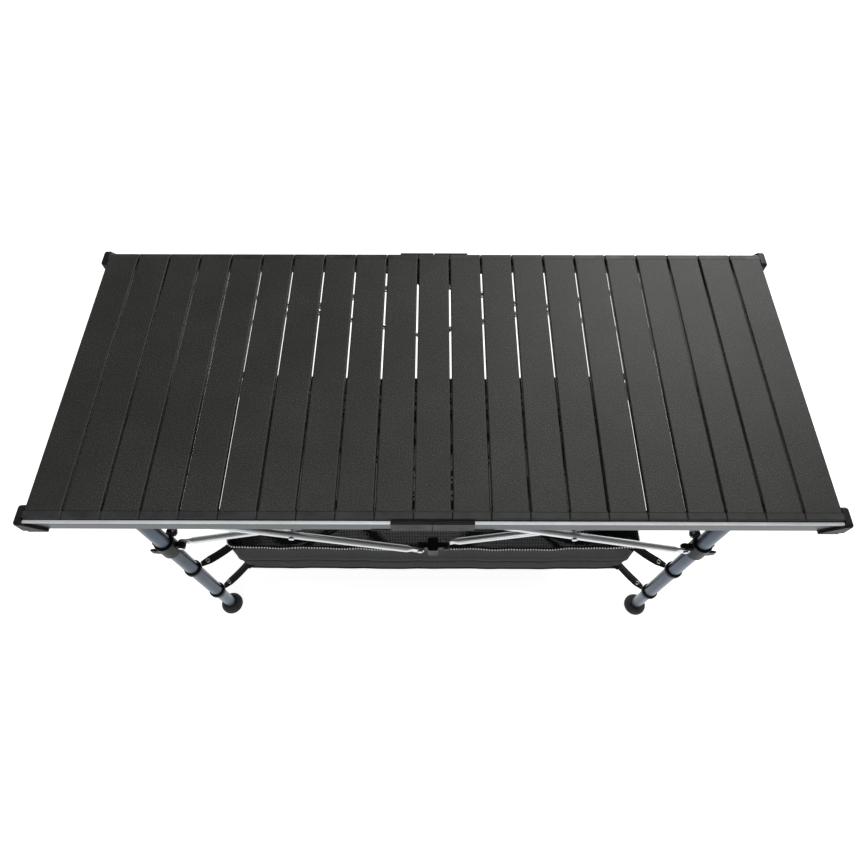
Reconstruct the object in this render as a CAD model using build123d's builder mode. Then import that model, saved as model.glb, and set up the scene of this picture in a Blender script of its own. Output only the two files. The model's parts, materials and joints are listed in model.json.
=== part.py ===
"""Camp kitchen table: a slatted roll-up top on a folding scissor frame with telescoping legs.

Frame: X along the table's length, Y from front to back, Z up from the floor.
The origin is on the floor under the middle of the table.
"""
import os
from math import atan2, degrees, hypot

from build123d import *

# Overall size
TABLE_LENGTH = 1200.0
TABLE_HEIGHT = 600.0

# Tabletop slats
SLAT_COUNT = 21
SLAT_PITCH = 56.0
SLAT_WIDTH = 53.0
SLAT_LENGTH = 508.0
SLAT_HEIGHT = 10.0
SLAT_WALL = 1.4
SLAT_EDGE_RADIUS = 2.0
SLAT_RIB = 1.2
END_CAP_WIDTH = 55.6
END_CAP_FLANGE = 11.0
END_CAP_PLUG = 14.0
END_CAP_FIT = 0.1
SEAM_CHAMFER = 0.7

# Rails under the slats' ends
RAIL_FACE_Y = 260.0
RAIL_DEPTH = 24.0
RAIL_BOTTOM = 572.0
RAIL_LIP_TOP = 594.0
RAIL_LIP_THICKNESS = 5.4
RAIL_WALL = 1.6
RAIL_SLAT_GAP = 0.3
RAIL_END = 588.2
HINGE_HALF = 60.0
HINGE_SLEEVE = 1.4
HINGE_TONGUE = 30.0
CORNER_CAP_PROUD = 4.0
CORNER_CAP_REACH = 27.0
CORNER_CAP_TOP = 598.0
CORNER_CAP_BOTTOM = 568.5

# Scissor frame
LEG_X = 455.0
LEG_Y = 228.5
PIVOT_TOP = 554.0
PIVOT_BOTTOM = 404.0
EAR_OFFSET = 24.0
HUB_OFFSET = 22.0
EAR_THICKNESS = 9.0
EAR_RADIUS = 7.0
BRACE_OFFSET = 6.8
BRACE_RADIUS = 6.0
BRACE_WALL = 1.2
TAB_THICKNESS = 4.0
TAB_RADIUS = 7.0
TUBE_START = 24.0
TAPER_START = 9.5
PIN_RADIUS = 2.5
PIN_HEAD_RADIUS = 4.4
PIN_HEAD = 1.6
PIN_CLEARANCE = 0.05

# Legs
OUTER_RADIUS = 12.5
OUTER_WALL = 1.2
OUTER_BOTTOM = 100.0
OUTER_TOP = 566.0
INNER_RADIUS = 11.0
INNER_WALL = 1.2
INNER_TOP = 330.0
FOOT_RADIUS = 23.0
FOOT_HEIGHT = 18.0
FOOT_FLOOR = 5.0
HEAD_TOP = 571.5
HEAD_BOTTOM = 536.0
HEAD_RADIUS = 17.0
COLLAR_RADIUS = 16.6
COLLAR_BORE = 12.8
COLLAR_HALF = 20.0

# Storage bag
BAG_HALF_X = 392.0
BAG_HALF_Y = 202.0
BAG_BOTTOM = 140.0
BAG_TOP = 300.0
BAG_WALL = 2.0
BAG_CORNER = 30.0
STRAP_WIDTH = 14.0
STRAP_THICKNESS = 1.6
STRAP_END_GAP = 1.2
CLIP_HEIGHT = 10.0
CLIP_RADIUS = 15.4
UPPER_CLIP = 272.0
LOWER_CLIP = 118.0

BRACE_SPAN = LEG_X - EAR_OFFSET - HUB_OFFSET
BRACE_DROP = PIVOT_TOP - PIVOT_BOTTOM
BRACE_LENGTH = hypot(BRACE_SPAN, BRACE_DROP)
SLAT_BOTTOM = TABLE_HEIGHT - SLAT_HEIGHT
CORNERS = {"front_left": (-1, -1), "front_right": (1, -1), "back_left": (-1, 1), "back_right": (1, 1)}

os.makedirs("parts", exist_ok=True)


def save(name, *solids):
    """Write one node: a single solid, or a group of separate solids that keep their own names."""
    if len(solids) == 1:
        node = solids[0]
    else:
        node = Compound(children=list(solids))
    node.label = name
    export_step(node, f"parts/{name}.step")


def placed(part, location, label):
    """A copy of a finished piece, moved to its place."""
    with BuildPart() as copy:
        with Locations(location):
            add(part)
    copy.part.label = label
    return copy.part


# --- Tabletop slats -------------------------------------------------------------------------

# Hollow extrusion, front to back, with two inner ribs and rounded long edges.
inner_width = SLAT_WIDTH - 2 * SLAT_WALL
inner_height = SLAT_HEIGHT - 2 * SLAT_WALL
chamber = (inner_width - 2 * SLAT_RIB) / 3
with BuildPart() as slat:
    with BuildSketch(Plane.XZ.offset(-(SLAT_LENGTH / 2 - END_CAP_FLANGE))):
        with Locations((0, SLAT_BOTTOM + SLAT_HEIGHT / 2)):
            RectangleRounded(SLAT_WIDTH, SLAT_HEIGHT, SLAT_EDGE_RADIUS)
            with GridLocations(chamber + SLAT_RIB, 0, 3, 1):
                Rectangle(chamber, inner_height, mode=Mode.SUBTRACT)
    extrude(amount=SLAT_LENGTH - 2 * END_CAP_FLANGE)

# Moulded plug for a slat's front end: a flange that almost meets the next one, and a tongue per chamber.
with BuildPart() as end_cap:
    with BuildSketch(Plane.XZ.offset(SLAT_LENGTH / 2 - END_CAP_FLANGE)):
        with Locations((0, SLAT_BOTTOM + SLAT_HEIGHT / 2)):
            RectangleRounded(END_CAP_WIDTH, SLAT_HEIGHT, SLAT_EDGE_RADIUS)
    extrude(amount=END_CAP_FLANGE)
    fillet(end_cap.faces().sort_by(Axis.Y)[0].edges(), 1.5)
    chamfer(end_cap.faces().sort_by(Axis.Y)[-1].edges(), SEAM_CHAMFER)
    with BuildSketch(Plane.XZ.offset(SLAT_LENGTH / 2 - END_CAP_FLANGE)):
        with Locations((0, SLAT_BOTTOM + SLAT_HEIGHT / 2)):
            with GridLocations(chamber + SLAT_RIB, 0, 3, 1):
                Rectangle(chamber - 2 * END_CAP_FIT, inner_height - 2 * END_CAP_FIT)
    extrude(amount=-END_CAP_PLUG)

for number in range(1, SLAT_COUNT + 1):
    x = (number - (SLAT_COUNT + 1) / 2) * SLAT_PITCH
    here = Location((x, 0, 0))
    turned = Location((x, 0, 0), (0, 0, 180))
    save(
        f"slat_{number:02d}",
        placed(slat.part, here, "slat"),
        placed(end_cap.part, here, "front_end_cap"),
        placed(end_cap.part, turned, "back_end_cap"),
    )

# --- Rails, their centre hinges and corner caps ---------------------------------------------

deck = SLAT_BOTTOM - RAIL_SLAT_GAP
rail_back = RAIL_FACE_Y - RAIL_DEPTH


def rail_outline(grow=0.0):
    """Rail section looking along X, on the back side: a box with an upstand outside the slats."""
    with BuildLine() as line:
        Polyline(
            (RAIL_FACE_Y + grow, RAIL_BOTTOM - grow),
            (RAIL_FACE_Y + grow, RAIL_LIP_TOP + grow),
            (RAIL_FACE_Y - RAIL_LIP_THICKNESS, RAIL_LIP_TOP + grow),
            (RAIL_FACE_Y - RAIL_LIP_THICKNESS, deck),
            (rail_back - grow, deck),
            (rail_back - grow, RAIL_BOTTOM - grow),
            close=True,
        )
    return line.line


# Right half of the back rail; the other three are turned or mirrored from it.
with BuildPart() as rail_half:
    with BuildSketch(Plane.YZ.offset(2.0)):
        add(rail_outline())
        make_face()
        with Locations(((RAIL_FACE_Y + rail_back) / 2, (deck + RAIL_BOTTOM) / 2)):
            Rectangle(RAIL_DEPTH - 2 * RAIL_WALL, deck - RAIL_BOTTOM - 2 * RAIL_WALL, mode=Mode.SUBTRACT)
    extrude(amount=RAIL_END - 2.0)
    top_edges = rail_half.edges().filter_by(Axis.X).group_by(Axis.Z)[-1]
    fillet(top_edges, 1.2)

# Right leaf of the back hinge: a sleeve round the rail's end with a tongue under the rail.
with BuildPart() as hinge_leaf:
    with BuildSketch(Plane.YZ.offset(0.5)):
        add(rail_outline(HINGE_SLEEVE))
        make_face()
        add(rail_outline())
        make_face(mode=Mode.SUBTRACT)
    extrude(amount=HINGE_HALF)
    with BuildSketch(Plane.XY.offset(RAIL_BOTTOM - HINGE_SLEEVE)):
        with Locations((HINGE_HALF + HINGE_TONGUE / 2, rail_back + RAIL_DEPTH / 2)):
            Rectangle(HINGE_TONGUE, RAIL_DEPTH + 2 * HINGE_SLEEVE)
        with Locations((HINGE_HALF + HINGE_TONGUE / 3, rail_back + RAIL_DEPTH / 2)):
            Rectangle(HINGE_TONGUE / 3, RAIL_DEPTH / 2, mode=Mode.SUBTRACT)
    extrude(amount=HINGE_SLEEVE)

# Bolt that holds a tongue to the rail, with its washer head below.
with BuildPart() as rail_bolt:
    with BuildSketch(Plane.XY.offset(RAIL_BOTTOM - HINGE_SLEEVE)):
        with Locations((HINGE_HALF + HINGE_TONGUE * 0.8, rail_back + RAIL_DEPTH / 2)):
            RegularPolygon(5.0, 6)
    extrude(amount=-4.0)

# Corner cap, right end of the back rail: a thick end stop and a tapered sleeve on face and underside.
with BuildPart() as corner_cap:
    with BuildSketch(Plane.YZ.offset(RAIL_END + 0.2)):
        with Locations(((RAIL_FACE_Y + rail_back) / 2, (CORNER_CAP_TOP + CORNER_CAP_BOTTOM) / 2)):
            RectangleRounded(RAIL_DEPTH + 2 * CORNER_CAP_PROUD, CORNER_CAP_TOP - CORNER_CAP_BOTTOM, 5)
    extrude(amount=TABLE_LENGTH / 2 - RAIL_END - 0.2)
    fillet(corner_cap.faces().sort_by(Axis.X)[-1].edges(), 5.0)
    with BuildSketch(Plane.XZ.offset(-(RAIL_FACE_Y + CORNER_CAP_PROUD))):
        with BuildLine():
            Polyline(
                (RAIL_END + 2, RAIL_LIP_TOP + 2),
                (RAIL_END - 3, RAIL_LIP_TOP - 2),
                (RAIL_END - CORNER_CAP_REACH, RAIL_BOTTOM),
                (RAIL_END - CORNER_CAP_REACH, CORNER_CAP_BOTTOM),
                (RAIL_END + 2, CORNER_CAP_BOTTOM),
                close=True,
            )
        make_face()
    extrude(amount=CORNER_CAP_PROUD)
    with BuildSketch(Plane.XY.offset(RAIL_BOTTOM)):
        with Locations((RAIL_END - CORNER_CAP_REACH / 2 + 1, (RAIL_FACE_Y + rail_back) / 2 + 2)):
            Rectangle(CORNER_CAP_REACH + 2, RAIL_DEPTH + 4)
    extrude(amount=CORNER_CAP_BOTTOM - RAIL_BOTTOM)


def four_ways(part, label):
    """The piece at the back right, and its mirror images at the other three corners."""
    copies = []
    for corner, (sx, sy) in CORNERS.items():
        with BuildPart() as copy:
            add(part)
            if sx < 0:
                mirror(about=Plane.YZ, mode=Mode.REPLACE)
            if sy < 0:
                mirror(about=Plane.XZ, mode=Mode.REPLACE)
        copy.part.label = f"{corner}_{label}"
        copies.append(copy.part)
    return copies


rails = four_ways(rail_half.part, "rail")
leaves = four_ways(hinge_leaf.part, "hinge_leaf")
bolts = four_ways(rail_bolt.part, "rail_bolt")
for rail in rails:
    save(rail.label, rail)
save("front_rail_hinge", leaves[0], leaves[1])
save("back_rail_hinge", leaves[2], leaves[3])
save("rail_bolts", *bolts)
save("corner_caps", *four_ways(corner_cap.part, "cap"))

# --- Legs -----------------------------------------------------------------------------------

with BuildPart() as outer_tube:
    with BuildSketch(Plane.XY.offset(OUTER_BOTTOM)):
        Circle(OUTER_RADIUS)
        Circle(OUTER_RADIUS - OUTER_WALL, mode=Mode.SUBTRACT)
    extrude(amount=OUTER_TOP - OUTER_BOTTOM)

with BuildPart() as inner_tube:
    with BuildSketch(Plane.XY.offset(FOOT_FLOOR)):
        Circle(INNER_RADIUS)
        Circle(INNER_RADIUS - INNER_WALL, mode=Mode.SUBTRACT)
    extrude(amount=INNER_TOP - FOOT_FLOOR)

# Rubber foot: a low dome with a socket for the inner tube.
with BuildPart() as foot:
    with BuildSketch(Plane.XZ):
        with BuildLine():
            Polyline((0, FOOT_FLOOR), (0, 0), (FOOT_RADIUS - 3, 0), (FOOT_RADIUS, 3), (FOOT_RADIUS, 7))
            ThreePointArc((FOOT_RADIUS, 7), (20, 13), (INNER_RADIUS + 3, FOOT_HEIGHT))
            Polyline(
                (INNER_RADIUS + 3, FOOT_HEIGHT),
                (INNER_RADIUS, FOOT_HEIGHT),
                (INNER_RADIUS, FOOT_FLOOR),
                (0, FOOT_FLOOR),
            )
        make_face()
    revolve(axis=Axis.Z)


def ear(height, along_x):
    """Upright lug with a pin hole, towards local +X or +Y."""
    plane = Plane.XZ if along_x else Plane(origin=(0, 0, 0), x_dir=(0, 1, 0), z_dir=(1, 0, 0))
    with BuildPart() as lug:
        with BuildSketch(plane.offset(-EAR_THICKNESS / 2)):
            with Locations((EAR_OFFSET, height)):
                Circle(EAR_RADIUS)
            with Locations((EAR_OFFSET - 6, height)):
                Rectangle(12, 2 * EAR_RADIUS)
            with Locations((EAR_OFFSET, height)):
                Circle(PIN_RADIUS, mode=Mode.SUBTRACT)
        extrude(amount=EAR_THICKNESS)
    return lug.part


# Moulded leg head: a cup over the tube's top, a seat plate under the rail and two ears.
with BuildPart() as leg_head:
    with BuildSketch(Plane.XY.offset(HEAD_BOTTOM)):
        Circle(HEAD_RADIUS)
    extrude(amount=HEAD_TOP - HEAD_BOTTOM)
    with BuildSketch(Plane.XY.offset(HEAD_TOP - 5)):
        with Locations((-4, -4)):
            RectangleRounded(50, 44, 8)
    extrude(amount=5)
    add(ear(PIVOT_TOP, True))
    add(ear(PIVOT_TOP, False))
    with BuildSketch(Plane.XY.offset(HEAD_BOTTOM)):
        Circle(OUTER_RADIUS)
    extrude(amount=OUTER_TOP - HEAD_BOTTOM, mode=Mode.SUBTRACT)

# Sliding collar: a sleeve on the outer tube with two ears and a pair of flared finger tabs.
with BuildPart() as collar:
    with BuildSketch(Plane.XY.offset(PIVOT_BOTTOM - COLLAR_HALF)):
        Circle(COLLAR_RADIUS)
    extrude(amount=2 * COLLAR_HALF)
    add(ear(PIVOT_BOTTOM, True))
    add(ear(PIVOT_BOTTOM, False))
    with BuildSketch(Plane.XY.offset(PIVOT_BOTTOM - COLLAR_HALF)):
        for side in (-1, 1):
            with BuildLine():
                Polyline(
                    (-COLLAR_RADIUS + 4, side * 2.0),
                    (-COLLAR_RADIUS - 14, side * 4.5),
                    (-COLLAR_RADIUS - 14, side * 7.5),
                    (-COLLAR_RADIUS + 4, side * 9.0),
                    close=True,
                )
            make_face()
    extrude(amount=14)
    with BuildSketch(Plane.XY.offset(PIVOT_BOTTOM - COLLAR_HALF)):
        Circle(COLLAR_BORE)
    extrude(amount=2 * COLLAR_HALF, mode=Mode.SUBTRACT)
    fillet(collar.edges().filter_by(GeomType.CIRCLE).group_by(Axis.Z)[-1].sort_by(SortBy.RADIUS)[-1], 1.2)


def pivot_pin(reach_front, reach_back):
    """Rivet along Y through a lug: reach on each side, outside of which lie its two heads."""
    with BuildPart() as pin:
        with BuildSketch(Plane.XZ.offset(-reach_back)):
            Circle(PIN_RADIUS)
        extrude(amount=reach_front + reach_back)
        for plane in (Plane.XZ.offset(reach_front), Plane.XZ.offset(-reach_back - PIN_HEAD)):
            with BuildSketch(plane):
                Circle(PIN_HEAD_RADIUS)
            extrude(amount=PIN_HEAD)
    return pin.part


TAB_FACE = BRACE_OFFSET + TAB_THICKNESS / 2 + 0.2
EAR_FACE = EAR_THICKNESS / 2
pin_front = pivot_pin(TAB_FACE, EAR_FACE)
pin_back = pivot_pin(EAR_FACE, TAB_FACE)

# Each leg has one brace in the front or back row and one in the side row. A brace lies against
# the front or back face of its ear; sideways, high braces lie outboard and low ones inboard.
for corner, (sx, sy) in CORNERS.items():
    base = Location((sx * LEG_X, sy * LEG_Y, 0))

    def corner_copy(part, label):
        """Copy with the ears turned towards the middle of the table."""
        with BuildPart() as copy:
            add(part)
            if sx > 0:
                mirror(about=Plane.YZ, mode=Mode.REPLACE)
            if sy > 0:
                mirror(about=Plane.XZ, mode=Mode.REPLACE)
        return placed(copy.part, base, label)

    def row_pin(height, in_front):
        """Pin through the ear that points along the table's length."""
        spot = Location((sx * (LEG_X - EAR_OFFSET), sy * LEG_Y, height))
        return placed(pin_front if in_front else pin_back, spot, "row_pin")

    def side_pin(height, outboard):
        """Pin through the ear that points across the table."""
        to_minus_x = (sx < 0) == outboard
        spot = Location((sx * LEG_X, sy * (LEG_Y - EAR_OFFSET), height), (0, 0, -90))
        return placed(pin_front if to_minus_x else pin_back, spot, "side_pin")

    high_in_front = sx < 0
    front_end = sy < 0
    save(
        f"{corner}_outer_leg",
        placed(outer_tube.part, base, "outer_tube"),
        corner_copy(leg_head.part, "leg_head"),
        row_pin(PIVOT_TOP, high_in_front),
        side_pin(PIVOT_TOP, front_end),
    )
    save(
        f"{corner}_collar",
        corner_copy(collar.part, "collar"),
        row_pin(PIVOT_BOTTOM, not high_in_front),
        side_pin(PIVOT_BOTTOM, not front_end),
    )
    save(
        f"{corner}_inner_leg",
        placed(inner_tube.part, base, "inner_tube"),
        placed(foot.part, base, "foot"),
    )

# --- Scissor braces -------------------------------------------------------------------------

# Brace along +X from pivot to pivot: a round tube pressed flat at both ends, drilled at the middle.
with BuildPart() as brace:
    with BuildSketch(Plane.YZ.offset(TUBE_START)):
        Circle(BRACE_RADIUS)
        Circle(BRACE_RADIUS - BRACE_WALL, mode=Mode.SUBTRACT)
    extrude(amount=BRACE_LENGTH - 2 * TUBE_START)
    for end in (-1, 1):
        middle = BRACE_LENGTH / 2
        with BuildSketch(Plane.YZ.offset(middle + end * (middle - TUBE_START))):
            Circle(BRACE_RADIUS)
        with BuildSketch(Plane.YZ.offset(middle + end * (middle - TAPER_START))):
            RectangleRounded(TAB_THICKNESS, 2 * TAB_RADIUS, 1.2)
        loft()
        with BuildSketch(Plane.XZ.offset(-TAB_THICKNESS / 2)):
            with Locations((middle + end * middle, 0)):
                Circle(TAB_RADIUS)
            with Locations((middle + end * (middle - TAPER_START / 2), 0)):
                Rectangle(TAPER_START, 2 * TAB_RADIUS)
        extrude(amount=TAB_THICKNESS)
    with BuildSketch(Plane.XZ.offset(-2 * BRACE_RADIUS)):
        with Locations((0, 0), (BRACE_LENGTH / 2, 0), (BRACE_LENGTH, 0)):
            Circle(PIN_RADIUS + PIN_CLEARANCE)
    extrude(amount=4 * BRACE_RADIUS, mode=Mode.SUBTRACT)

# Rivet at a crossing, held in one brace and running in the other.
reach = BRACE_OFFSET + BRACE_RADIUS + 0.3
cross_rivet = pivot_pin(reach, reach)
DROP_ANGLE = degrees(atan2(BRACE_DROP, BRACE_SPAN))


def row_brace(name, sx, y, outer_high, in_front):
    """Brace of the front or back row, between a leg and the middle hub."""
    inner = (sx * HUB_OFFSET, PIVOT_BOTTOM if outer_high else PIVOT_TOP)
    outer = (sx * (HUB_OFFSET + BRACE_SPAN), PIVOT_TOP if outer_high else PIVOT_BOTTOM)
    left, right = sorted((inner, outer))
    lean = DROP_ANGLE if left[1] > right[1] else -DROP_ANGLE
    offset_y = y + (-BRACE_OFFSET if in_front else BRACE_OFFSET)
    tube = placed(brace.part, Location((left[0], offset_y, left[1]), (0, lean, 0)), "brace")
    middle = ((left[0] + right[0]) / 2, y, (left[1] + right[1]) / 2)
    if outer_high:
        save(name, tube)
    else:
        save(name, tube, placed(cross_rivet, Location(middle), "cross_rivet"))


def side_brace(name, sx, front_high):
    """Brace of a side, between a front leg and a back leg."""
    y = LEG_Y - EAR_OFFSET
    z = PIVOT_TOP if front_high else PIVOT_BOTTOM
    lean = DROP_ANGLE if front_high else -DROP_ANGLE
    x = sx * (LEG_X + (BRACE_OFFSET if front_high else -BRACE_OFFSET))
    turn = Location((x, -y, z)) * Location((0, 0, 0), (0, 0, 90)) * Location((0, 0, 0), (0, lean, 0))
    tube = placed(brace.part, turn, "brace")
    if front_high:
        middle = Location((sx * LEG_X, 0, (PIVOT_TOP + PIVOT_BOTTOM) / 2), (0, 0, 90))
        save(name, tube, placed(cross_rivet, middle, "cross_rivet"))
    else:
        save(name, tube)


for row, y in (("front", -LEG_Y), ("back", LEG_Y)):
    row_brace(f"{row}_left_high_brace", -1, y, True, True)
    row_brace(f"{row}_left_low_brace", -1, y, False, False)
    row_brace(f"{row}_right_high_brace", 1, y, True, False)
    row_brace(f"{row}_right_low_brace", 1, y, False, True)
for side, sx in (("left", -1), ("right", 1)):
    side_brace(f"{side}_high_brace", sx, True)
    side_brace(f"{side}_low_brace", sx, False)

# --- Hubs in the middle of each row ---------------------------------------------------------


def hub(name, y, height, top, left_in_front):
    """Moulded block with an ear and a pin on each side, and a seat plate when it is a top hub."""
    with BuildPart() as block:
        with BuildSketch(Plane.XZ.offset(-(y + EAR_THICKNESS / 2))):
            with Locations((0, height)):
                SlotOverall(2 * (HUB_OFFSET + EAR_RADIUS), 2 * EAR_RADIUS)
        extrude(amount=EAR_THICKNESS)
        with BuildSketch(Plane.XY.offset(height - 13)):
            with Locations((0, y)):
                RectangleRounded(18, 24, 4)
        extrude(amount=(top if top else height + 13) - (height - 13))
        if top:
            plate_y = y + (4 if y > 0 else -4)
            with BuildSketch(Plane.XY.offset(top - 5)):
                with Locations((0, plate_y)):
                    RectangleRounded(64, 40, 6)
            extrude(amount=5)
        with BuildSketch(Plane.XZ.offset(-(y + EAR_THICKNESS / 2))):
            with Locations((-HUB_OFFSET, height), (HUB_OFFSET, height)):
                Circle(PIN_RADIUS)
        extrude(amount=EAR_THICKNESS, mode=Mode.SUBTRACT)
    block.part.label = "hub"
    left = placed(pin_front if left_in_front else pin_back, Location((-HUB_OFFSET, y, height)), "left_pin")
    right = placed(pin_back if left_in_front else pin_front, Location((HUB_OFFSET, y, height)), "right_pin")
    save(name, block.part, left, right)


hub("front_top_hub", -LEG_Y, PIVOT_TOP, RAIL_BOTTOM - HINGE_SLEEVE, False)
hub("back_top_hub", LEG_Y, PIVOT_TOP, HEAD_TOP - HINGE_SLEEVE, False)
hub("front_bottom_hub", -LEG_Y, PIVOT_BOTTOM, None, True)
hub("back_bottom_hub", LEG_Y, PIVOT_BOTTOM, None, True)

# --- Storage bag, straps and clips ----------------------------------------------------------

# Open-topped bag hung inside the legs.
with BuildPart() as bag:
    with BuildSketch(Plane.XY.offset(BAG_BOTTOM)):
        RectangleRounded(2 * BAG_HALF_X, 2 * BAG_HALF_Y, BAG_CORNER)
    extrude(amount=BAG_TOP - BAG_BOTTOM)
    fillet(bag.faces().sort_by(Axis.Z)[0].edges(), 20)
    offset(amount=-BAG_WALL, openings=bag.faces().sort_by(Axis.Z)[-1])
save("storage_bag", bag.part)


def strap(sx, sy, bag_z, clip_z):
    """Flat webbing from a bag corner to the clip on the leg."""
    start = Vector(sx * (BAG_HALF_X - 4), sy * (BAG_HALF_Y - 4), bag_z)
    clip = Vector(sx * LEG_X, sy * LEG_Y, clip_z)
    outward = (Vector(clip.X, clip.Y, 0) - Vector(start.X, start.Y, 0)).normalized()
    start = start + outward * 2.5
    end = clip - outward * (CLIP_RADIUS + STRAP_END_GAP)
    along = end - start
    across = outward.cross(Vector(0, 0, 1))
    with BuildPart() as band:
        with BuildSketch(Plane(origin=start, x_dir=across, z_dir=along)):
            Rectangle(STRAP_WIDTH, STRAP_THICKNESS)
        extrude(amount=along.length)
    return band.part


straps = []
clips = []
for corner, (sx, sy) in CORNERS.items():
    for level, bag_z, clip_z in (("upper", BAG_TOP - 14, UPPER_CLIP), ("lower", BAG_BOTTOM + 32, LOWER_CLIP)):
        webbing = strap(sx, sy, bag_z, clip_z)
        webbing.label = f"{corner}_{level}_strap"
        straps.append(webbing)
        with BuildPart() as clip:
            with BuildSketch(Plane.XY.offset(clip_z - CLIP_HEIGHT / 2)):
                with Locations((sx * LEG_X, sy * LEG_Y)):
                    Circle(CLIP_RADIUS)
                    Circle(OUTER_RADIUS + 0.4, mode=Mode.SUBTRACT)
            extrude(amount=CLIP_HEIGHT)
        clip.part.label = f"{corner}_{level}_clip"
        clips.append(clip.part)
save("bag_straps", *straps)
save("strap_clips", *clips)
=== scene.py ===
"""Looks of the folding camp kitchen table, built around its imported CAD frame. Metres, Z up."""
import json
from math import cos, pi, radians, sin

import bmesh
import bpy
from mathutils import Euler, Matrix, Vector


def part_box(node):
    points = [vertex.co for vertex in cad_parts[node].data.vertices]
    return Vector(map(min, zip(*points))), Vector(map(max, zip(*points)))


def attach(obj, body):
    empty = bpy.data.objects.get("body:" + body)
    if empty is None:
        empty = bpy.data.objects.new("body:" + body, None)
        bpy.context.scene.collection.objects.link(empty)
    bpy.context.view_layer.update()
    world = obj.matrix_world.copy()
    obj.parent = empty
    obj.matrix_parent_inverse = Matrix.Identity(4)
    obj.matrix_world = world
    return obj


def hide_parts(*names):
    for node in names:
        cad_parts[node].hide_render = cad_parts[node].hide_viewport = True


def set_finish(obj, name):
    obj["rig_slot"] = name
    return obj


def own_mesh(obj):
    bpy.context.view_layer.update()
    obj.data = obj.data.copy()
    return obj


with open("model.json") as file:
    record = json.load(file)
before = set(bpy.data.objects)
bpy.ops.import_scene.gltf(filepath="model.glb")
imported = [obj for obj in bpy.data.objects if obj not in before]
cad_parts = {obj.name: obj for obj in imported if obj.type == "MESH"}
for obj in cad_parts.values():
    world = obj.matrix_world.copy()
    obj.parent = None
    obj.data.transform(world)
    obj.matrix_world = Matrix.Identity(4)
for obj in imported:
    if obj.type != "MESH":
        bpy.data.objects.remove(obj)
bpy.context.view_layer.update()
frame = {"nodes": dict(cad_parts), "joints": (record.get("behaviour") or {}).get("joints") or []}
nodes = frame["nodes"]
scene = bpy.context.scene

TOP_BODY = "top_frame"
BACK_BODY = "back_top_hub"
LEFT_LEG = "front_left_outer_leg"
RIGHT_LEG = "front_right_outer_leg"
# Each corner's side in X and in Y; the front is -Y.
CORNERS = {
    "front_left": (-1, -1),
    "front_right": (1, -1),
    "back_left": (-1, 1),
    "back_right": (1, 1),
}
ALONG_X = (1, 0, 0)
ALONG_Y = (0, 1, 0)
UP = Vector((0, 0, 1))


# --- Materials ------------------------------------------------------------------------------


def grey(tone):
    return (tone, tone, tone)


class Shader:
    """A Principled material with helpers for the texture nodes in front of it."""

    def __init__(self, name, color, roughness, metallic=0.0, **sockets):
        self.material = bpy.data.materials.new(name)
        self.material.use_nodes = True
        self.tree = self.material.node_tree
        self.surface = self.tree.nodes["Principled BSDF"]
        self.coords = self.tree.nodes.new("ShaderNodeTexCoord").outputs["Object"]
        self.set("Base Color", (*color, 1.0))
        self.set("Roughness", roughness)
        self.set("Metallic", metallic)
        for socket, value in sockets.items():
            self.set(socket.replace("_", " "), value)

    def set(self, socket, value):
        self.surface.inputs[socket].default_value = value

    def node(self, kind, **values):
        made = self.tree.nodes.new(kind)
        for key, value in values.items():
            if hasattr(made, key):
                setattr(made, key, value)
            else:
                made.inputs[key.replace("_", " ")].default_value = value
        return made

    def link(self, source, target):
        self.tree.links.new(source, target)

    def drive(self, source, socket):
        """Feeds one of the Principled shader's own sockets."""
        self.link(source, self.surface.inputs[socket])

    def noise(self, scale, detail=3.0):
        made = self.node("ShaderNodeTexNoise", Scale=scale, Detail=detail, Roughness=0.6)
        self.link(self.coords, made.inputs["Vector"])
        return made.outputs["Fac"]

    def ramp(self, source, stops):
        """Colour ramp through (place, value) stops; a value is a grey or a colour."""
        made = self.tree.nodes.new("ShaderNodeValToRGB")
        elements = made.color_ramp.elements
        while len(elements) < len(stops):
            elements.new(0.5)
        for element, (place, value) in zip(elements, stops):
            element.position = place
            color = value if isinstance(value, tuple) else grey(value)
            element.color = (*color, 1.0)
        self.link(source, made.inputs["Fac"])
        return made.outputs["Color"]

    def math(self, operation, *terms):
        made = self.tree.nodes.new("ShaderNodeMath")
        made.operation = operation
        for socket, term in zip(made.inputs, terms):
            if isinstance(term, (int, float)):
                socket.default_value = term
            else:
                self.link(term, socket)
        return made.outputs[0]

    def bump(self, height, distance, strength):
        made = self.node("ShaderNodeBump", Strength=strength, Distance=distance)
        self.link(height, made.inputs["Height"])
        self.drive(made.outputs["Normal"], "Normal")


def powder_coat():
    """Textured dark olive coat of the slats, with pale painted glints where the grain catches the
    light.
    """
    s = Shader("powder_coat", (0.02, 0.022, 0.018), 0.5, Specular_IOR_Level=0.3)
    grain = s.noise(560.0, 2.0)
    cloud = s.noise(9.0, 3.0)
    mixed = s.math("ADD", s.math("MULTIPLY", grain, 0.85), s.math("MULTIPLY", cloud, 0.15))
    # The palest stop is painted glints, where the grain would catch the light.
    pits, coat, painted_glints = (0.0098, 0.0108, 0.0086), (0.023, 0.0250, 0.0205), (0.068, 0.071, 0.062)
    s.drive(s.ramp(mixed, [(0.38, pits), (0.54, coat), (0.70, painted_glints)]), "Base Color")
    s.drive(s.ramp(s.noise(700.0), [(0.3, 0.38), (0.7, 0.60)]), "Roughness")
    s.bump(grain, 0.0005, 0.8)
    return s.material


def anodised(name, dark, light, roughness, metallic=1.0):
    """Anodised aluminium with soft handling marks and a fine etched grain."""
    s = Shader(name, light, roughness, metallic)
    marks = s.noise(14.0, 4.0)
    s.drive(s.ramp(marks, [(0.35, dark), (0.65, light)]), "Base Color")
    s.drive(s.ramp(marks, [(0.3, roughness - 0.02), (0.75, roughness + 0.05)]), "Roughness")
    s.bump(s.noise(900.0, 1.0), 0.00003, 0.1)
    return s.material


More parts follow.
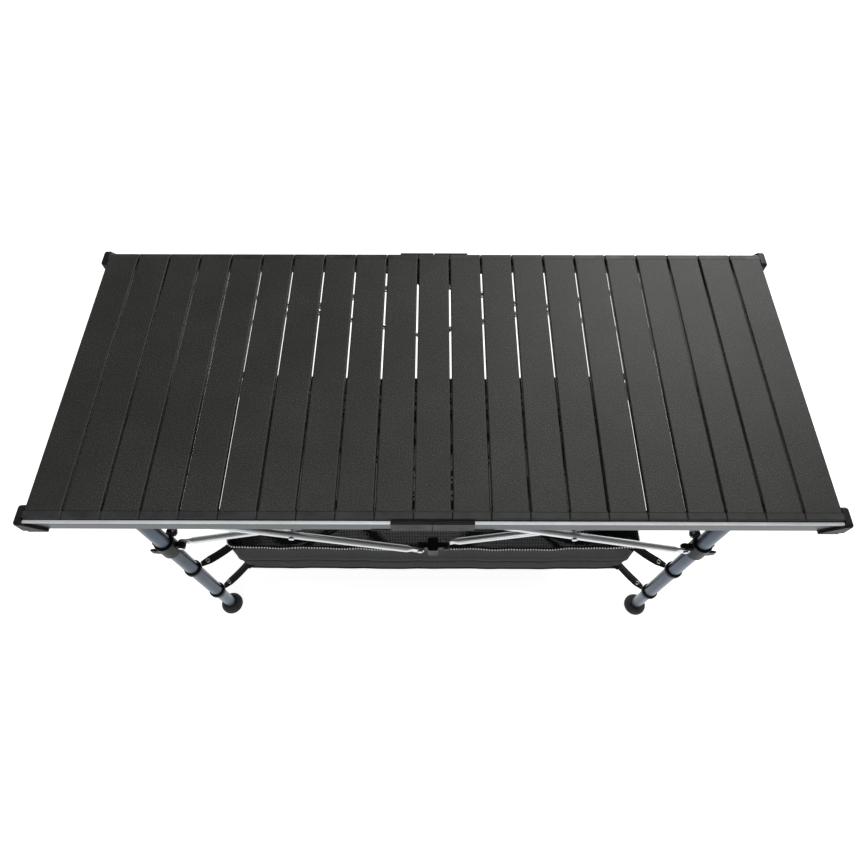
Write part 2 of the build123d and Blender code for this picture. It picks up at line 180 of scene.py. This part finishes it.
def moulded(name, tone, roughness, gloss):
    """Black moulded plastic with a spark-eroded grain and slight polish on worn places."""
    s = Shader(name, (tone, tone, tone * 1.05), roughness, Specular_IOR_Level=gloss)
    grain = s.noise(1100.0, 2.0)
    wear = s.noise(35.0, 3.0)
    s.drive(s.ramp(wear, [(0.35, grey(tone * 0.8)), (0.75, grey(tone * 1.7))]), "Base Color")
    s.drive(s.ramp(wear, [(0.3, roughness - 0.1), (0.7, roughness + 0.08)]), "Roughness")
    s.bump(grain, 0.00015, 0.5)
    return s.material


def rubber():
    """Matt black rubber of the feet, with dust in its pores."""
    s = Shader("foot_rubber", (0.016, 0.016, 0.017), 0.75)
    clean, dusty = (0.012, 0.012, 0.013), (0.035, 0.034, 0.033)
    s.drive(s.ramp(s.noise(60.0, 4.0), [(0.4, clean), (0.8, dusty)]), "Base Color")
    s.bump(s.noise(500.0), 0.0002, 0.5)
    return s.material


def steel():
    """Zinc-plated steel of the rivets, bolts and eyelets."""
    s = Shader("plated_steel", (0.62, 0.62, 0.63), 0.3, 1.0)
    s.drive(s.ramp(s.noise(120.0), [(0.3, 0.22), (0.75, 0.42)]), "Roughness")
    s.bump(s.noise(600.0), 0.0001, 0.3)
    return s.material


def woven(name, tone, pitch, strength):
    """Tight plain weave: threads over and under at the given pitch on all three axes."""
    s = Shader(name, grey(tone), 0.85, Specular_IOR_Level=0.2, Sheen_Weight=0.08,
               Sheen_Roughness=0.5)
    split = s.node("ShaderNodeSeparateXYZ")
    s.link(s.coords, split.inputs[0])
    waves = [
        s.math("SINE", s.math("MULTIPLY", split.outputs[axis], 2 * pi / pitch))
        for axis in range(3)
    ]
    weave = s.math("MULTIPLY", s.math("ADD", waves[0], waves[1]), s.math("ADD", waves[2], 0.2))
    height = s.math("ADD", s.math("MULTIPLY", weave, 0.25), 0.5)
    s.drive(s.ramp(height, [(0.2, grey(tone * 0.5)), (0.8, grey(tone * 1.8))]), "Base Color")
    s.bump(height, 0.0004, strength)
    return s.material


def mesh_cloth(name, painted_cell_light):
    """Knitted mesh: dark threads round small cells painted in the given tone, as painted light
    coming through the holes.
    """
    s = Shader(name, grey(0.02), 0.85, Specular_IOR_Level=0.2, Sheen_Weight=0.05)
    cells = s.node("ShaderNodeTexVoronoi", Scale=300.0, Randomness=0.12)
    cells.feature = "DISTANCE_TO_EDGE"
    s.link(s.coords, cells.inputs["Vector"])
    edge = cells.outputs["Distance"]
    thread = (0.006, 0.0063, 0.0063)
    # The cells' tone is painted light coming through the knit.
    s.drive(s.ramp(edge, [(0.10, thread), (0.26, grey(painted_cell_light))]), "Base Color")
    s.bump(s.ramp(edge, [(0.0, 1.0), (0.3, 0.0)]), 0.0008, 0.8)
    return s.material


# Anodised metal takes its darker and lighter colour, and plastic and cloth take one tone.
SLAT = powder_coat()
CAP_PLASTIC = moulded("slat_cap_plastic", 0.021, 0.5, 0.28)
RAIL = anodised("rail_anodised", (0.072, 0.079, 0.084), (0.105, 0.114, 0.122), 0.36)
# Painted highlight for the upward faces at the top of the rail's upstand: a lit copy of the rail's
# anodised metal.
RAIL_TOP_HIGHLIGHT = anodised("rail_painted_top_highlight", (0.70, 0.72, 0.73), (0.82, 0.84, 0.85), 0.42, 0.45)
LEG = anodised("leg_anodised", (0.052, 0.065, 0.086), (0.082, 0.103, 0.136), 0.32)
INNER_LEG = anodised("inner_leg_anodised", (0.09, 0.11, 0.14), (0.14, 0.165, 0.20), 0.3)
BRACE = anodised("brace_anodised", (0.60, 0.61, 0.62), (0.67, 0.68, 0.69), 0.3)
PLASTIC = moulded("black_plastic", 0.008, 0.42, 0.16)
RUBBER = rubber()
STEEL = steel()
BAND_CLOTH = woven("band_cloth", 0.014, 0.0011, 0.7)
WEBBING = woven("webbing", 0.010, 0.0022, 1.0)
MESH_CLOTH = mesh_cloth("mesh_cloth", 0.035)
# Lit copy of the mesh cloth, with pale cells as painted light, for the faces seen from inside the
# bag.
MESH_PAINTED_LIGHT = mesh_cloth("mesh_cloth_painted_light", 0.34)
THREAD = woven("white_thread", 0.9, 0.0006, 0.4)


# --- CAD pieces -----------------------------------------------------------------------------

# Heights that part one material from the next.
FOOT_SOLE = 0.004
FOOT_TOP = 0.0185
HEAD_FOOT = 0.5355
TUBE_TOP = 0.5662
LIP_FLOOR = 0.5905

# Radii just outside the tubes, and half the length of a slat's metal.
INNER_TUBE = 0.0112
OUTER_TUBE = 0.0126
SLAT_METAL_END = 0.243

# A rivet's head: its radius, its farthest end, and where it starts outside an ear or a brace.
PIN_REACH = 0.0043
PIN_END = 0.02
EAR_FACE = 0.0046
BRACE_FACE = 0.0128


def dress(node, materials, choose=None):
    """Gives each polygon of a CAD node the material that choose(polygon) returns."""
    mesh = nodes[node].data
    mesh.materials.clear()
    for material in materials:
        mesh.materials.append(material)
    if choose:
        for polygon in mesh.polygons:
            polygon.material_index = materials.index(choose(polygon))


def middle_of(node):
    low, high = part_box(node)
    return (low + high) / 2


def off_axis(inner_tube):
    """Distance of a point from a leg's axis, through the middle of its inner tube's node."""
    axis = middle_of(inner_tube)
    return lambda point: Vector((point.x - axis.x, point.y - axis.y)).length


def pins_of(node):
    """Pivot lines that pass through a node's box, as (place, direction)."""
    low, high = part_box(node)
    margin = Vector((PIN_END, PIN_END, PIN_END))
    low, high = low - margin, high + margin
    lines = []
    for joint in frame["joints"]:
        if joint["type"] != "hinge" or "roll" in joint["name"]:
            continue
        place = Vector(joint["pos_m"])
        if all(low[i] < place[i] < high[i] for i in range(3)):
            lines.append((place, Vector(joint["axis"])))
    return lines


def on_pin(point, lines, face):
    """Whether a point is on a rivet's head, outside the face that it clamps."""
    for place, direction in lines:
        offset = point - place
        along = offset.dot(direction)
        if face < abs(along) < PIN_END and (offset - direction * along).length < PIN_REACH:
            return True
    return False


def slat_metal(polygon):
    """A slat is coated metal between its two moulded end caps."""
    return SLAT if abs(polygon.center.y) < SLAT_METAL_END else CAP_PLASTIC


def rail_metal(polygon):
    """The top faces of the rail's upstand carry a painted highlight, and its other faces are satin.
    """
    return RAIL_TOP_HIGHLIGHT if polygon.center.z > LIP_FLOOR and polygon.normal.z > 0.1 else RAIL


def inner_leg_look(node):
    """An inner tube, with a rubber foot round its lower end."""
    away = off_axis(node)

    def choose(polygon):
        at = polygon.center
        foot = at.z < FOOT_TOP and (away(at) > INNER_TUBE or at.z < FOOT_SOLE)
        return RUBBER if foot else INNER_LEG

    return choose


def outer_leg_look(node):
    """An outer tube, with a moulded head round its upper end and rivets through the ears."""
    away = off_axis(node.replace("_outer_leg", "_inner_leg"))
    lines = pins_of(node)

    def choose(polygon):
        at = polygon.center
        if on_pin(at, lines, EAR_FACE):
            return STEEL
        head = at.z > TUBE_TOP or (at.z > HEAD_FOOT and away(at) > OUTER_TUBE)
        return PLASTIC if head else LEG

    return choose


def riveted(node, material, face):
    """The given material, with plated rivet heads outside the face that they clamp."""
    lines = pins_of(node)
    return lambda polygon: STEEL if on_pin(polygon.center, lines, face) else material


for name in nodes:
    if name.startswith("slat_"):
        dress(name, [SLAT, CAP_PLASTIC], slat_metal)
    elif name.endswith("_rail"):
        dress(name, [RAIL, RAIL_TOP_HIGHLIGHT], rail_metal)
    elif name.endswith("_outer_leg"):
        dress(name, [LEG, PLASTIC, STEEL], outer_leg_look(name))
    elif name.endswith("_inner_leg"):
        dress(name, [INNER_LEG, RUBBER], inner_leg_look(name))
    elif name.endswith("_brace"):
        dress(name, [BRACE, STEEL], riveted(name, BRACE, BRACE_FACE))
    elif name.endswith("_collar") or name.endswith("_hub"):
        dress(name, [PLASTIC, STEEL], riveted(name, PLASTIC, EAR_FACE))
    elif name == "rail_bolts":
        dress(name, [STEEL])
    else:
        dress(name, [PLASTIC])


# --- Helpers for new pieces -----------------------------------------------------------------


def new_piece(name, bm, material, slot, body=TOP_BODY):
    """Turns a bmesh into a smooth piece that rides on a body."""
    bmesh.ops.recalc_face_normals(bm, faces=bm.faces)
    mesh = bpy.data.meshes.new(name)
    bm.to_mesh(mesh)
    bm.free()
    for polygon in mesh.polygons:
        polygon.use_smooth = True
    mesh.materials.append(material)
    piece = bpy.data.objects.new(name, mesh)
    scene.collection.objects.link(piece)
    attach(piece, body)
    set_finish(piece, slot)
    return piece


def thicken(piece, thickness):
    """Gives a sheet its thickness, half on each side, and keeps the result as its mesh."""
    solid = piece.modifiers.new("thickness", "SOLIDIFY")
    solid.thickness = thickness
    solid.offset = 0
    graph = bpy.context.evaluated_depsgraph_get()
    mesh = bpy.data.meshes.new_from_object(piece.evaluated_get(graph))
    piece.modifiers.clear()
    piece.data = mesh


def bridge(bm, loop, following):
    """Faces between two closed loops of vertices."""
    for i in range(len(loop)):
        j = (i + 1) % len(loop)
        bm.faces.new((loop[i], loop[j], following[j], following[i]))


def cut_out(piece, name, belongs):
    """A new object with only the polygons whose middle passes the test belongs(point)."""
    bm = bmesh.new()
    bm.from_mesh(piece.data)
    away = [face for face in bm.faces if not belongs(face.calc_center_median())]
    bmesh.ops.delete(bm, geom=away, context="FACES")
    mesh = bpy.data.meshes.new(name)
    bm.to_mesh(mesh)
    bm.free()
    for material in piece.data.materials:
        mesh.materials.append(material)
    part = bpy.data.objects.new(name, mesh)
    scene.collection.objects.link(part)
    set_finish(part, piece["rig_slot"])
    return part


# --- Storage bag ----------------------------------------------------------------------------

bag_low, bag_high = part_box("storage_bag")
BAG_X = bag_high.x + 0.002
BAG_Y = bag_high.y - 0.004
BAG_TOP = bag_high.z
BAG_BOTTOM = bag_low.z
CORNER_RADIUS = 0.018
# Where the front and back walls end and the rounded corners start.
WALL_END = BAG_X - CORNER_RADIUS

# The band is the solid cloth below the hem, and the end panels are solid cloth too.
BAND = 0.085
BAND_SHARE = BAND / (BAG_TOP - BAG_BOTTOM)
END_PANEL = 0.93
BAND_ROWS = 6
BAND_LIFT = 0.0018
BAND_THICKNESS = 0.0016

# The mesh starts behind the band, at this share of its depth.
MESH_START = 0.7
MESH_ROWS = 16
MESH_THICKNESS = 0.0012
WALL_COLUMNS = 420
FLOOR_RINGS = 14
FLOOR_COLUMNS = 240
FLOOR_SAG = 0.006

# The hem droops between the straps: its depth on the long sides, its share on the short ones,
# and how far out a point counts as being on a side.
TOP_SAG = 0.014
END_SAG = 0.6
EDGE_ZONE = 0.9

# How the wall stands to the bag's plan, and where it starts and ends in height.
WALL_INSET = 0.007
BELLY = 0.003
HEM_DROP = 0.002
FOOT_LIFT = 0.008
FOOT_CORNER_LIFT = 0.004
# The straps stretch the corners, and between them the cloth draws in near the hem.
CORNER_POWER = 6
DRAW_IN = 0.004
DRAW_IN_RATE = 1.6
# Sines round the bag, as (amplitude, cycles, phase).
CREASES = ((0.0020, 9, 0.1), (0.0014, 23, 0.4), (0.0008, 41, 0.7))
FOOT_WAVES = ((0.0008, 3, 0.3), (0.0003, 11, 0.6))
# The floor's ripple: its share of the sag, and radians in a metre along X and Y.
RIPPLE = 0.15
RIPPLE_X = 23
RIPPLE_Y = 31

# Bindings round the wall, as (share of its height, lift off the cloth, radius).
SEAMS = {
    "bag_hem": (0.0, 0.001, 0.0026),
    "bag_foot_seam": (0.985, 0.001, 0.002),
    "bag_band_seam": (BAND_SHARE, 0.002, 0.0013),
}
SEAM_SIDES = 8

STITCH_COUNT = 450
STITCH_SHARE = -0.010
STITCH_LENGTH = 0.0032
STITCH_RADIUS = 0.0016
STITCH_LIFT = 0.0034

# What is left of a wall's length with the frame folded, and where the floor is parted.
WALL_KEEP = 0.18
END_KEEP = 0.27
FLOOR_PARTING = 0.148


def wave(t, terms):
    """Sum of a few sines, so that folds look irregular."""
    return sum(a * sin(2 * pi * (n * t + p)) for a, n, p in terms)


def rim_point(t):
    """Point on the bag's rounded-rectangle plan, and its outward normal, for t from 0 to 1."""
    x, y, r = BAG_X, BAG_Y, CORNER_RADIUS
    straight_x, straight_y, arc = 2 * (x - r), 2 * (y - r), pi * r / 2
    d = (t % 1.0) * 2 * (straight_x + straight_y + 2 * arc)
    sides = (
        (straight_x, Vector((-x + r, -y, 0)), 0.0),
        (straight_y, Vector((x, -y + r, 0)), pi / 2),
        (straight_x, Vector((x - r, y, 0)), pi),
        (straight_y, Vector((-x, y - r, 0)), 3 * pi / 2),
    )
    for length, start, turn in sides:
        along = Vector((cos(turn), sin(turn), 0))
        outward = Vector((sin(turn), -cos(turn), 0))
        if d <= length:
            return start + along * d, outward
        d -= length
        if d <= arc:
            angle = d / r
            centre = start + along * length - outward * r
            facing = outward * cos(angle) + along * sin(angle)
            return centre + facing * r, facing
        d -= arc
    # Rounding carried d past the last corner, so this is the start again.
    return sides[0][1], Vector((0, -1, 0))


def edge_sag(point):
    """How much the hem droops between the corners that the straps hold."""
    across_x = 1 - min(1, abs(point.x) / BAG_X) ** 2
    across_y = 1 - min(1, abs(point.y) / BAG_Y) ** 2
    long_side = across_x if abs(point.y) > BAG_Y * EDGE_ZONE else 0
    short_side = across_y * END_SAG if abs(point.x) > BAG_X * EDGE_ZONE else 0
    return TOP_SAG * max(long_side, short_side)


def wall_point(t, share, lift=0.0):
    """Point on the bag's wall, share 0 at the hem and 1 at the floor seam."""
    at, outward = rim_point(t)
    belly = BELLY * sin(pi * share) - BELLY * share ** 3
    corner = (abs(at.x) / BAG_X) ** CORNER_POWER * (abs(at.y) / BAG_Y) ** CORNER_POWER
    corner = min(1.0, corner)
    crease = wave(t, CREASES) * (0.5 - 0.3 * share)
    drawn = -DRAW_IN * (1 - corner) * sin(pi * min(1, share * DRAW_IN_RATE))
    top = BAG_TOP - HEM_DROP - edge_sag(at)
    bottom = BAG_BOTTOM + FOOT_LIFT + FOOT_CORNER_LIFT * corner + wave(t, FOOT_WAVES)
    place = at + outward * (belly + crease + drawn - WALL_INSET + lift)
    place.z = top + (bottom - top) * share
    return place


def wall_loop(share, lift):
    """Points all round the bag's wall at one share of its height."""
    return [wall_point(c / WALL_COLUMNS, share, lift) for c in range(WALL_COLUMNS)]


def wall_ribbon(name, low, high, rows, lift, material, thickness):
    """Part of the bag's wall between two shares of its height, as a closed loop of cloth."""
    bm = bmesh.new()
    loops = []
    for row in range(rows + 1):
        share = low + (high - low) * row / rows
        loops.append([bm.verts.new(point) for point in wall_loop(share, lift)])
    for loop, following in zip(loops, loops[1:]):
        bridge(bm, loop, following)
    piece = new_piece(name, bm, material, "bag_mesh")
    thicken(piece, thickness)
    return piece


def bag_floor():
    """Sagging bottom sheet, from the wall's foot inwards."""
    bm = bmesh.new()
    loops = []
    for step in range(FLOOR_RINGS):
        keep = 1 - step / FLOOR_RINGS
        loop = []
        for c in range(FLOOR_COLUMNS):
            edge = wall_point(c / FLOOR_COLUMNS, 1.0)
            place = Vector((edge.x * keep, edge.y * keep, edge.z))
            ripple = 1 + RIPPLE * sin(place.x * RIPPLE_X + place.y * RIPPLE_Y)
            place.z -= FLOOR_SAG * (1 - keep ** 2) * ripple
            loop.append(bm.verts.new(place))
        loops.append(loop)
    for loop, following in zip(loops, loops[1:]):
        bridge(bm, loop, following)
    bm.faces.new(loops[-1])
    piece = new_piece("bag_floor", bm, MESH_CLOTH, "bag_mesh")
    thicken(piece, MESH_THICKNESS)
    return piece


def seam(name, share, lift, radius):
    """Round binding that follows the wall at one share of its height."""
    bm = bmesh.new()
    points = wall_loop(share, lift)
    turns = [2 * pi * k / SEAM_SIDES for k in range(SEAM_SIDES)]
    rings = []
    for i, point in enumerate(points):
        along = (points[(i + 1) % len(points)] - points[i - 1]).normalized()
        side = along.cross(UP).normalized()
        up = side.cross(along).normalized()
        rings.append([bm.verts.new(point + (side * cos(a) + up * sin(a)) * radius) for a in turns])
    for i, made in enumerate(rings):
        bridge(bm, made, rings[(i + 1) % len(rings)])
    return new_piece(name, bm, BAND_CLOTH, "webbing")


def stitches(name):
    """A run of single stitches round the hem."""
    bm = bmesh.new()
    half = STITCH_LENGTH / 2 / (4 * (BAG_X + BAG_Y))
    size = Vector((STITCH_RADIUS, STITCH_RADIUS, STITCH_LENGTH / 2))
    for k in range(STITCH_COUNT):
        t = k / STITCH_COUNT
        first, last = (wall_point(t + step, STITCH_SHARE, STITCH_LIFT) for step in (-half, half))
        turned = (last - first).normalized().to_track_quat("Z", "Y").to_matrix().to_4x4()
        turned.translation = (first + last) / 2
        made = bmesh.ops.create_uvsphere(bm, u_segments=6, v_segments=4, radius=1.0)
        for vertex in made["verts"]:
            vertex.co = turned @ (vertex.co * size)
    return new_piece(name, bm, THREAD, "webbing")


bag_wall = wall_ribbon("bag_mesh_wall", BAND_SHARE * MESH_START, 1.0, MESH_ROWS, 0.0,
                       MESH_CLOTH, MESH_THICKNESS)
bag_band = wall_ribbon("bag_band", 0.0, BAND_SHARE, BAND_ROWS, BAND_LIFT, BAND_CLOTH,
                       BAND_THICKNESS)
bag_bottom = bag_floor()
OUTSIDE, PAINTED_LIGHT_INSIDE, SOLID = range(3)
for sheet in (bag_wall, bag_bottom):
    sheet.data.materials.append(MESH_PAINTED_LIGHT)
    sheet.data.materials.append(BAND_CLOTH)
    for polygon in sheet.data.polygons:
        at, facing = polygon.center, polygon.normal
        inwards = facing.z > 0.5 or at.x * facing.x + at.y * facing.y < 0
        # Faces that look inwards or up get the lit copy: painted light where light comes through
        # the mesh.
        polygon.material_index = PAINTED_LIGHT_INSIDE if inwards else OUTSIDE
        if sheet == bag_wall and abs(at.x) > BAG_X * END_PANEL:
            polygon.material_index = SOLID
seams = [seam(name, *values) for name, values in SEAMS.items()]
hem_stitches = stitches("bag_hem_stitches")

# As the frame folds, the legs gather towards the front. The bag is cut into parts that ride on the
# bodies: the front and back walls on the top frame and the back hub, each end wall goes with the
# legs beside it, and the floor is cut into three parts.
WALL_PARTS = {
    "front": (TOP_BODY, ALONG_X, WALL_KEEP, lambda p: abs(p.x) <= WALL_END and p.y < 0),
    "back": (BACK_BODY, ALONG_X, WALL_KEEP, lambda p: abs(p.x) <= WALL_END and p.y >= 0),
    "left_end": (LEFT_LEG, ALONG_Y, END_KEEP, lambda p: p.x < -WALL_END),
    "right_end": (RIGHT_LEG, ALONG_Y, END_KEEP, lambda p: p.x > WALL_END),
}
FLOOR_PARTS = {
    "left": (LEFT_LEG, ALONG_Y, END_KEEP, lambda p: p.x < -FLOOR_PARTING),
    "middle": (TOP_BODY, ALONG_Y, END_KEEP, lambda p: abs(p.x) <= FLOOR_PARTING),
    "right": (RIGHT_LEG, ALONG_Y, END_KEEP, lambda p: p.x > FLOOR_PARTING),
}
walls = [bag_wall, bag_band, *seams, hem_stitches]
for soft, parts in [(wall, WALL_PARTS) for wall in walls] + [(bag_bottom, FLOOR_PARTS)]:
    for side, (body, axis, keep, belongs) in parts.items():
        name = f"{soft.name}_{side}"
        part = cut_out(soft, name, belongs)
        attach(part, body)
        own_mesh(part)
    bpy.data.objects.remove(soft)
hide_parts("storage_bag")


# --- Straps and their clips -----------------------------------------------------------------

clips_low, clips_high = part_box("strap_clips")
CLIP_HALF = 0.005
CLIP_INNER = 0.0128
CLIP_OUTER = 0.0158
# Each level of straps: its height on the bag and its clip's height on the leg.
STRAP_LEVELS = {
    "upper": (BAG_TOP - 0.014, clips_high.z - CLIP_HALF),
    "lower": (BAG_BOTTOM + 0.030, clips_low.z + CLIP_HALF),
}
# A strap starts inside the bag's corner and ends at the clip. Its last steps taper.
STRAP_INSET = 0.012
STRAP_REACH = 0.0165
STRAP_HALF = 0.008
STRAP_THICKNESS = 0.0016
STRAP_SAG = 0.004
STRAP_STEPS = 12
TAPER_AFTER = 9
TAPER = 0.12
STRAP_WIDTHS = [
    STRAP_HALF * (1 - TAPER * max(0, k - TAPER_AFTER)) for k in range(STRAP_STEPS + 1)
]

# The patch that sews a strap to the bag: how far it goes inwards and outwards from the start.
PATCH_IN = 0.016
PATCH_OUT = 0.004
PATCH_WIDTHS = [0.012, 0.012]
PATCH_THICKNESS = 0.003

EYELET_SHARE = 0.8
EYELET_DROP = 0.001
EYELET_INNER = 0.0022
EYELET_OUTER = 0.0042
EYELET_HALF = 0.0014

RING_SIDES = 40
RING_RIM = 0.001


def ribbon(name, points, widths, across, thickness, body):
    """Flat webbing along a list of points, with half its width given at each."""
    bm = bmesh.new()
    pairs = []
    for point, half in zip(points, widths):
        pairs.append((bm.verts.new(point - across * half), bm.verts.new(point + across * half)))
    for (a, b), (c, d) in zip(pairs, pairs[1:]):
        bm.faces.new((a, b, d, c))
    piece = new_piece(name, bm, WEBBING, "webbing", body)
    thicken(piece, thickness)
    return piece


def ring(name, centre, inner, outer, half, material, slot, body):
    """Upright ring with bevelled outer rims."""
    bm = bmesh.new()
    profile = [
        (inner, -half), (outer - RING_RIM, -half), (outer, -half + RING_RIM),
        (outer, half - RING_RIM), (outer - RING_RIM, half), (inner, half),
    ]
    loops = []
    for k in range(RING_SIDES):
        angle = 2 * pi * k / RING_SIDES
        offsets = [Vector((r * cos(angle), r * sin(angle), z)) for r, z in profile]
        loops.append([bm.verts.new(centre + offset) for offset in offsets])
    for k, loop in enumerate(loops):
        bridge(bm, loop, loops[(k + 1) % RING_SIDES])
    return new_piece(name, bm, material, slot, body)


for corner, (sx, sy) in CORNERS.items():
    leg = f"{corner}_outer_leg"
    axis = middle_of(f"{corner}_inner_leg")
    for level, (bag_z, clip_z) in STRAP_LEVELS.items():
        name = f"{corner}_{level}"
        start = Vector((sx * (BAG_X - STRAP_INSET), sy * (BAG_Y - STRAP_INSET), bag_z))
        centre = Vector((axis.x, axis.y, clip_z))
        outward = Vector((centre.x - start.x, centre.y - start.y, 0)).normalized()
        across = outward.cross(UP)
        end = centre - outward * STRAP_REACH
        points = []
        for k in range(STRAP_STEPS + 1):
            share = k / STRAP_STEPS
            points.append(start.lerp(end, share) - UP * STRAP_SAG * sin(pi * share))
        patch = [start - outward * PATCH_IN, start + outward * PATCH_OUT]
        eyelet_at = start.lerp(end, EYELET_SHARE) - UP * EYELET_DROP
        ribbon(
            f"{name}_strap", points, STRAP_WIDTHS, across, STRAP_THICKNESS, leg)
        ribbon(f"{name}_strap_patch", patch, PATCH_WIDTHS, across, PATCH_THICKNESS, leg)
        ring(
            f"{name}_clip", centre, CLIP_INNER, CLIP_OUTER, CLIP_HALF, PLASTIC, "black_plastic",
            leg)
        ring(f"{name}_eyelet", eyelet_at, EYELET_INNER, EYELET_OUTER, EYELET_HALF, STEEL,
             "bolt_steel", leg)
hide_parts("bag_straps")
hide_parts("strap_clips")


# --- Studio ---------------------------------------------------------------------------------


FLOOR_DROP = 0.0005
FLOOR_SIZE = 30.0
FLOOR_GLOW = 0.86
WORLD_STRENGTH = 0.24
SENSOR_WIDTH = 36.0
FOCAL_LENGTH = 26.36
CAMERA_PLACE = (0.0032, -0.5826, 1.4515)
# Degrees: how far the camera looks down from level, and its small roll and turn.
LOOK_DOWN = 61.29
ROLL = 0.02
TURN = 0.193


def studio_floor():
    """White floor that glows a little, so that it stays white in the object's shadow."""
    bpy.ops.mesh.primitive_plane_add(size=FLOOR_SIZE, location=(0, 0, -FLOOR_DROP))
    floor = bpy.context.object
    floor.name = "floor"
    shade = Shader("floor_white", grey(0.6), 0.9)
    shade.set("Emission Color", (1.0, 1.0, 1.0, 1.0))
    shade.set("Emission Strength", FLOOR_GLOW)
    floor.data.materials.append(shade.material)


def area_light(name, place, target, size, power, tint=(1, 1, 1)):
    light = bpy.data.lights.new(name, "AREA")
    light.shape = "RECTANGLE"
    light.size, light.size_y = size
    light.energy = power
    light.color = tint
    lamp = bpy.data.objects.new(name, light)
    scene.collection.objects.link(lamp)
    lamp.location = place
    lamp.rotation_euler = (Vector(target) - Vector(place)).to_track_quat("-Z", "Y").to_euler()


def studio_light():
    """Soft light: a key from behind on the right, one overhead and a weak cool one in front."""
    world = bpy.data.worlds.new("studio")
    world.use_nodes = True
    background = world.node_tree.nodes["Background"]
    background.inputs["Color"].default_value = (1.0, 1.0, 1.0, 1.0)
    background.inputs["Strength"].default_value = WORLD_STRENGTH
    scene.world = world
    area_light("key", place=(1.5, 2.2, 2.6), target=(0.2, 0.1, 0.6), size=(2.0, 1.4), power=70.0)
    area_light("overhead", place=(0.0, -0.2, 3.4), target=(0, 0, 0.5), size=(3.0, 1.0), power=34.0)
    area_light("front_fill", place=(-0.6, -3.2, 1.8), target=(0, 0, 0.3), size=(1.6, 0.8),
               power=14.0, tint=(0.92, 0.96, 1.0))
    scene.view_settings.view_transform = "Standard"


def camera():
    """The camera stands close, above and in front of the table, and looks steeply down."""
    data = bpy.data.cameras.new("camera")
    data.sensor_width = SENSOR_WIDTH
    data.lens = FOCAL_LENGTH
    data.clip_start, data.clip_end = 0.01, 100.0
    view = bpy.data.objects.new("camera", data)
    scene.collection.objects.link(view)
    view.location = CAMERA_PLACE
    view.rotation_euler = Euler((radians(90 - LOOK_DOWN), radians(ROLL), radians(TURN)), "XYZ")
    scene.camera = view


studio_floor()
studio_light()
camera()
